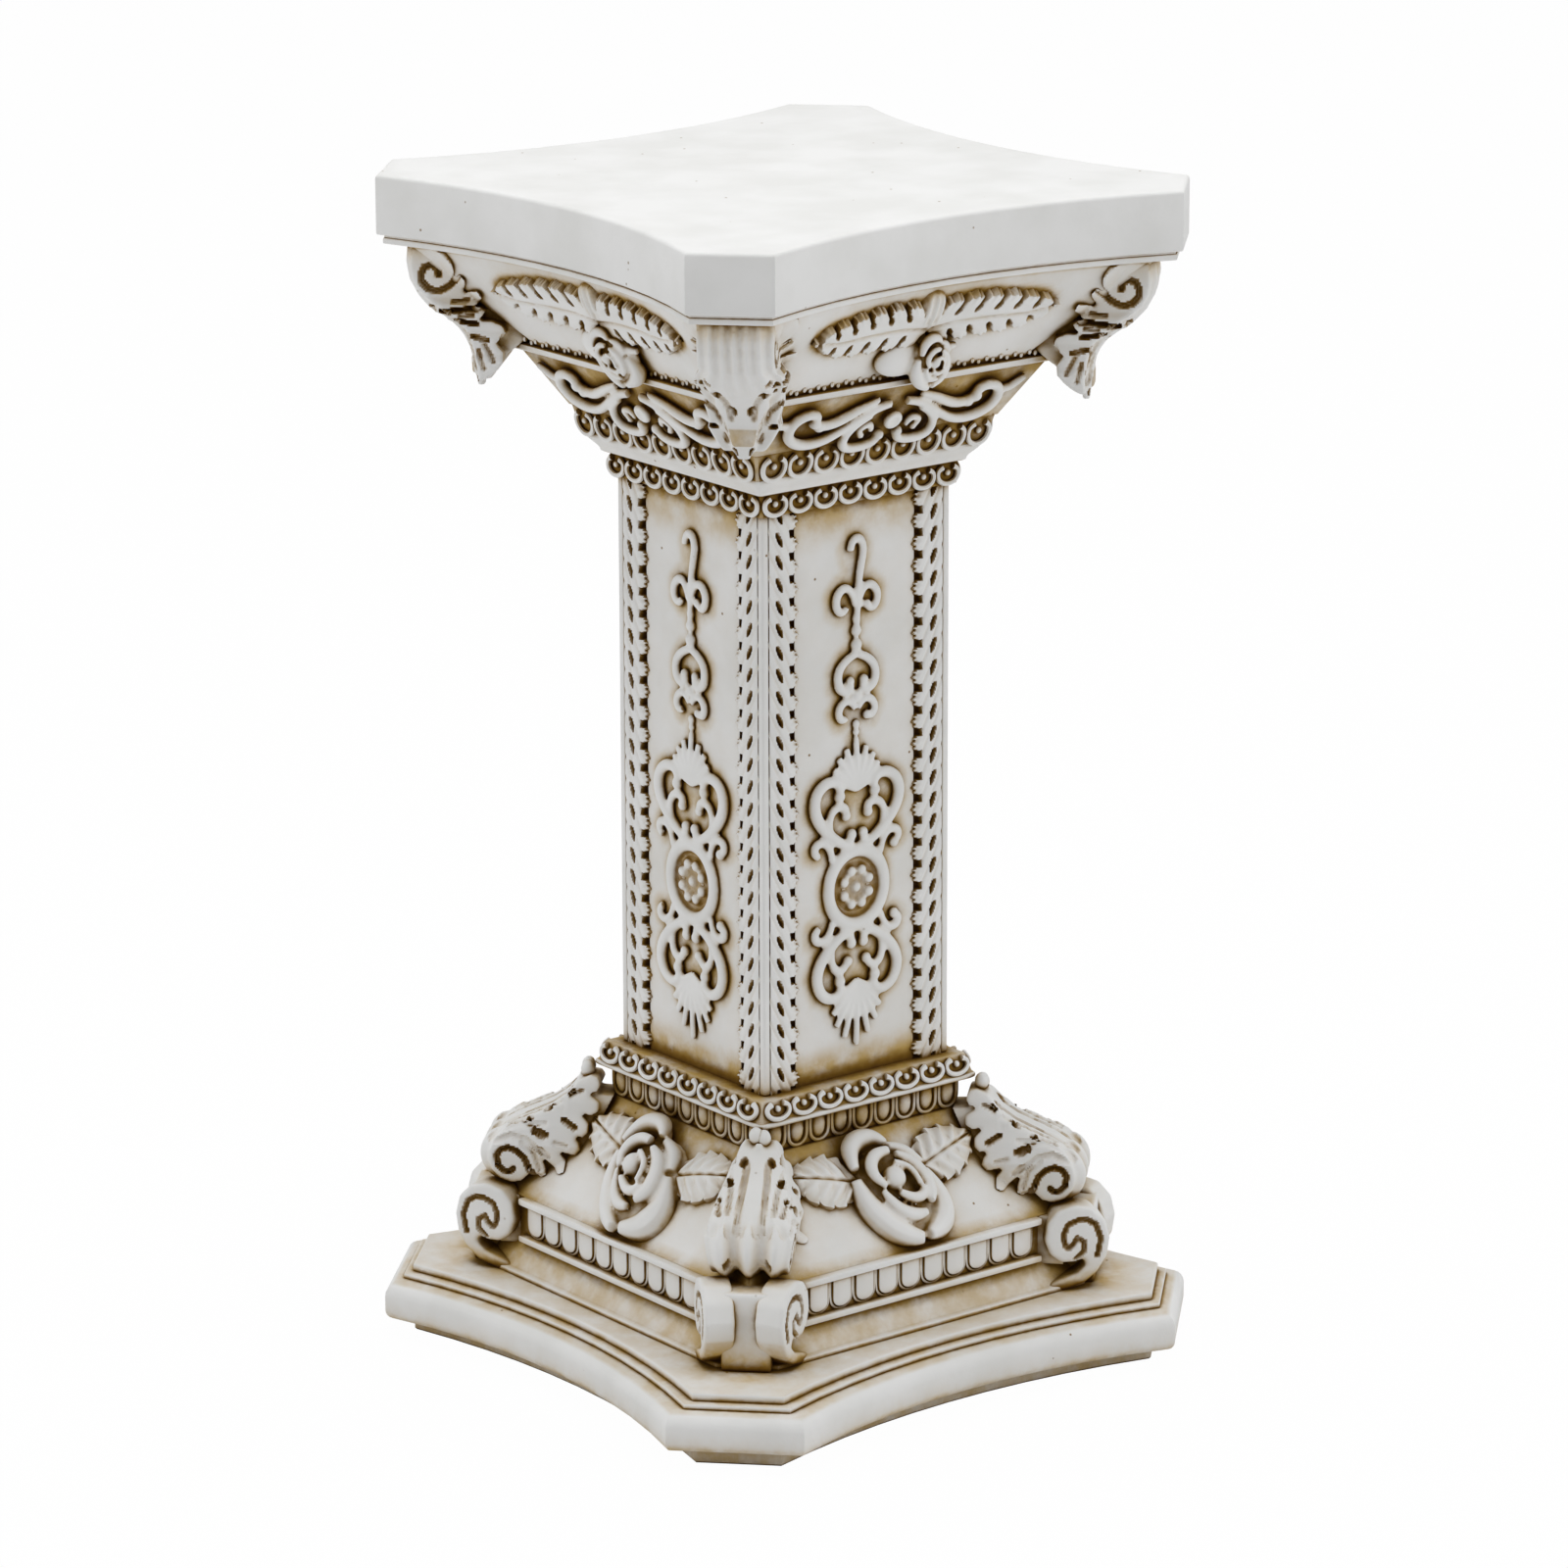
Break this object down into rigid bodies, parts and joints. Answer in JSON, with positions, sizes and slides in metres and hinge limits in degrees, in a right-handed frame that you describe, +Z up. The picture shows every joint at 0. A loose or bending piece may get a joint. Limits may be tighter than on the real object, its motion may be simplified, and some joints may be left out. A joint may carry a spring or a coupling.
{
  "type": "column pedestal",
  "caption": "Square column pedestal of cast resin with a hollow-sided plinth and abacus, scroll brackets at the corners, roses and a carved shaft; holds a vase or figure on its flat top.",
  "frame": {"origin": "middle of the plinth's underside, on the surface that the column stands on", "axes": "+Z up along the column, -Y out of the front face, +X to the right"},
  "size_m": [0.1388, 0.1388, 0.25],
  "materials": {
    "painted_resin": "cast resin with matt off-white paint",
    "antiqued_resin": "cast resin with matt off-white paint and a brown antiquing wash in the recesses"
  },
  "bodies": {
    "root": {"abacus": "painted_resin", "base_cornice": "painted_resin", "base_ring_beads": "antiqued_resin", "base_rose_back": "antiqued_resin", "base_rose_front": "antiqued_resin", "base_rose_left": "antiqued_resin", "base_rose_right": "antiqued_resin", "capital_bell": "painted_resin", "capital_block": "painted_resin", "capital_bracket_back_left": "antiqued_resin", "capital_bracket_back_right": "antiqued_resin", "capital_bracket_front_left": "antiqued_resin", "capital_bracket_front_right": "antiqued_resin", "capital_roses": "antiqued_resin", "collar_ring_beads": "antiqued_resin", "console_back_left": "antiqued_resin", "console_back_right": "antiqued_resin", "console_front_left": "antiqued_resin", "console_front_right": "antiqued_resin", "corner_posts": "painted_resin", "egg_frieze_back": "antiqued_resin", "egg_frieze_front": "antiqued_resin", "egg_frieze_left": "antiqued_resin", "egg_frieze_right": "antiqued_resin", "leaf_border_back": "antiqued_resin", "leaf_border_front": "antiqued_resin", "leaf_border_left": "antiqued_resin", "leaf_border_right": "antiqued_resin", "leaf_spray_back": "antiqued_resin", "leaf_spray_front": "antiqued_resin", "leaf_spray_left": "antiqued_resin", "leaf_spray_right": "antiqued_resin", "neck_ring": "painted_resin", "neck_ring_beads": "antiqued_resin", "panel_ornament_back": "antiqued_resin", "panel_ornament_front": "antiqued_resin", "panel_ornament_left": "antiqued_resin", "panel_ornament_right": "antiqued_resin", "pedestal_block": "painted_resin", "plinth": "painted_resin", "rose_leaves_back": "antiqued_resin", "rose_leaves_front": "antiqued_resin", "rose_leaves_left": "antiqued_resin", "rose_leaves_right": "antiqued_resin", "scroll_frieze_back": "antiqued_resin", "scroll_frieze_front": "antiqued_resin", "scroll_frieze_left": "antiqued_resin", "scroll_frieze_right": "antiqued_resin", "shaft_core": "painted_resin", "shaft_panel_back": "painted_resin", "shaft_panel_front": "painted_resin", "shaft_panel_left": "painted_resin", "shaft_panel_right": "painted_resin", "tongue_course": "antiqued_resin", "volute_block_back_left": "antiqued_resin", "volute_block_back_right": "antiqued_resin", "volute_block_front_left": "antiqued_resin", "volute_block_front_right": "antiqued_resin"}
  },
  "joints": []
}
